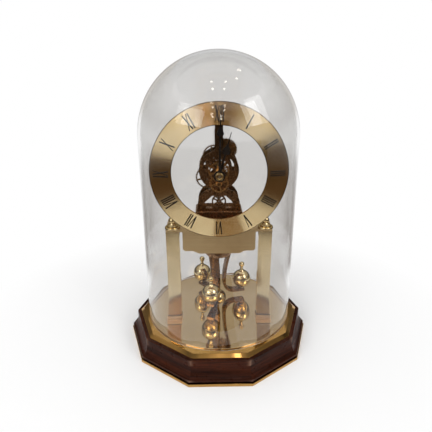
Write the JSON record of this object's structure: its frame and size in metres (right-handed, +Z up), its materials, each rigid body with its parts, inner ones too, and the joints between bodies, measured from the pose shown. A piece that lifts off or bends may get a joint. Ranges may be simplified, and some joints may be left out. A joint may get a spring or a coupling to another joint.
{
  "type": "torsion pendulum clock",
  "caption": "Torsion pendulum clock under a lift-off glass dome: brass ring dial, skeleton movement, pillars and a slow rotating ball pendulum on a ten-sided wooden base.",
  "frame": {"origin": "on the table, under the middle of the base", "axes": "+Z up, the dial faces -Y, +X to the right as seen from the front"},
  "size_m": [0.194, 0.1846, 0.2932],
  "materials": {
    "polished_brass": "polished and lacquered",
    "satin_brass": "satin, brushed along its length",
    "brushed_dial_brass": "brushed round the ring",
    "dark_bronze": "antique bronze tone, satin",
    "wheel_brass": "machined, aged",
    "steel": "ground",
    "black_paint": "gloss black",
    "dark_mahogany": "dark stain, gloss lacquer",
    "bottom_board": "bare board",
    "clear_glass": "clear, polished"
  },
  "bodies": {
    "stand": {"base_foot": "polished_brass", "base_board": "bottom_board", "base_wood": "dark_mahogany", "base_plate": "polished_brass", "floor_disc": "polished_brass", "guide_cup": "polished_brass", "plinth_left": "polished_brass", "plinth_right": "polished_brass", "pillar_left": "satin_brass", "pillar_right": "satin_brass", "pillar_screws": "steel", "platform": "satin_brass", "apron_plate": "satin_brass", "finial_left": "polished_brass", "finial_right": "polished_brass", "movement_base": "dark_bronze", "front_plate": "dark_bronze", "back_plate": "dark_bronze", "movement_posts": "wheel_brass", "minute_stud": "wheel_brass", "dial_ring": "brushed_dial_brass", "dial_numerals": "black_paint", "dial_feet": "wheel_brass", "suspension_bracket": "wheel_brass", "suspension_block": "wheel_brass", "strip_upper": "steel"},
    "dome": {"glass_dome": "clear_glass"},
    "centre": {"centre_arbor": "steel", "centre_wheel": "wheel_brass", "cannon_pinion": "steel", "minute_hand": "black_paint", "hand_nut": "polished_brass"},
    "hour": {"hour_wheel": "wheel_brass", "hour_hand": "black_paint"},
    "motion": {"minute_wheel": "wheel_brass"},
    "intermediate": {"intermediate_arbor": "steel", "intermediate_wheel": "wheel_brass"},
    "barrel": {"barrel_drum": "wheel_brass", "great_wheel": "wheel_brass"},
    "third": {"third_arbor": "steel", "third_wheel": "wheel_brass"},
    "escape": {"escape_arbor": "steel", "escape_wheel": "wheel_brass"},
    "winding": {"barrel_arbor": "steel", "ratchet_wheel": "steel"},
    "click": {"click": "steel"},
    "pendulum": {"pendulum_crown": "dark_bronze", "pendulum_rod": "wheel_brass", "strip_lower": "steel", "arm_1": "dark_bronze", "arm_2": "dark_bronze", "arm_3": "dark_bronze", "ball_1": "polished_brass", "ball_2": "polished_brass", "ball_3": "polished_brass"},
    "anchor": {"anchor": "steel", "crutch": "steel"},
    "fork": {"suspension_fork": "wheel_brass"},
    "regulator": {"regulating_nut": "polished_brass"}
  },
  "joints": [
    {"name": "minute_turn", "type": "hinge", "parent": "stand", "child": "centre", "pos_m": [0, 0, 0.1864], "axis": [0, 1, 0], "continuous": true},
    {"name": "hour_turn", "type": "hinge", "parent": "stand", "child": "hour", "pos_m": [0, 0, 0.1864], "axis": [0, 1, 0], "continuous": true},
    {"name": "motion_turn", "type": "hinge", "parent": "stand", "child": "motion", "pos_m": [0, 0, 0.1744], "axis": [0, 1, 0], "continuous": true},
    {"name": "intermediate_turn", "type": "hinge", "parent": "stand", "child": "intermediate", "pos_m": [-0.00487, 0, 0.19845], "axis": [0, 1, 0], "continuous": true},
    {"name": "barrel_turn", "type": "hinge", "parent": "stand", "child": "barrel", "pos_m": [0.00691, 0, 0.20395], "axis": [0, 1, 0], "continuous": true},
    {"name": "third_turn", "type": "hinge", "parent": "stand", "child": "third", "pos_m": [-0.01118, 0, 0.17797], "axis": [0, 1, 0], "continuous": true},
    {"name": "escape_turn", "type": "hinge", "parent": "stand", "child": "escape", "pos_m": [0, 0, 0.17041], "axis": [0, 1, 0], "continuous": true},
    {"name": "winding_turn", "type": "hinge", "parent": "stand", "child": "winding", "pos_m": [0.00691, 0, 0.20395], "axis": [0, 1, 0], "continuous": true},
    {"name": "click_lift", "type": "hinge", "parent": "stand", "child": "click", "pos_m": [-0.00206, 0, 0.19976], "axis": [0, 1, 0], "range_deg": [0, 20], "stiffness_Nm_per_rad": 0.0002, "springref_deg": -11.46},
    {"name": "pendulum_twist", "type": "hinge", "parent": "stand", "child": "pendulum", "pos_m": [0, 0.02, 0.1], "axis": [0, 0, 1], "range_deg": [-150, 150], "stiffness_Nm_per_rad": 0.00007},
    {"name": "anchor_rock", "type": "hinge", "parent": "stand", "child": "anchor", "pos_m": [0, 0, 0.15541], "axis": [0, 1, 0], "range_deg": [-3, 3]},
    {"name": "fork_twist", "type": "hinge", "parent": "stand", "child": "fork", "pos_m": [0, 0.02, 0.1904], "axis": [0, 0, 1], "range_deg": [-10, 10]},
    {"name": "regulator_turn", "type": "hinge", "parent": "pendulum", "child": "regulator", "pos_m": [0, 0.02, 0.088], "axis": [0, 0, 1], "range_deg": [-180, 180]},
    {"name": "dome_lift", "type": "slide", "parent": "stand", "child": "dome", "axis": [0, 0, 1], "range_m": [0, 0.27]}
  ],
  "couplings": [
    {"joint": "hour_turn", "follows": "minute_turn", "ratio": 0.083333},
    {"joint": "motion_turn", "follows": "minute_turn", "ratio": -0.33333},
    {"joint": "intermediate_turn", "follows": "minute_turn", "ratio": -0.2381},
    {"joint": "barrel_turn", "follows": "minute_turn", "ratio": 0.056689},
    {"joint": "third_turn", "follows": "minute_turn", "ratio": -4.6},
    {"joint": "escape_turn", "follows": "minute_turn", "ratio": 20.24},
    {"joint": "anchor_rock", "follows": "pendulum_twist", "ratio": 0.02},
    {"joint": "fork_twist", "follows": "pendulum_twist", "ratio": 0.0662}
  ]
}
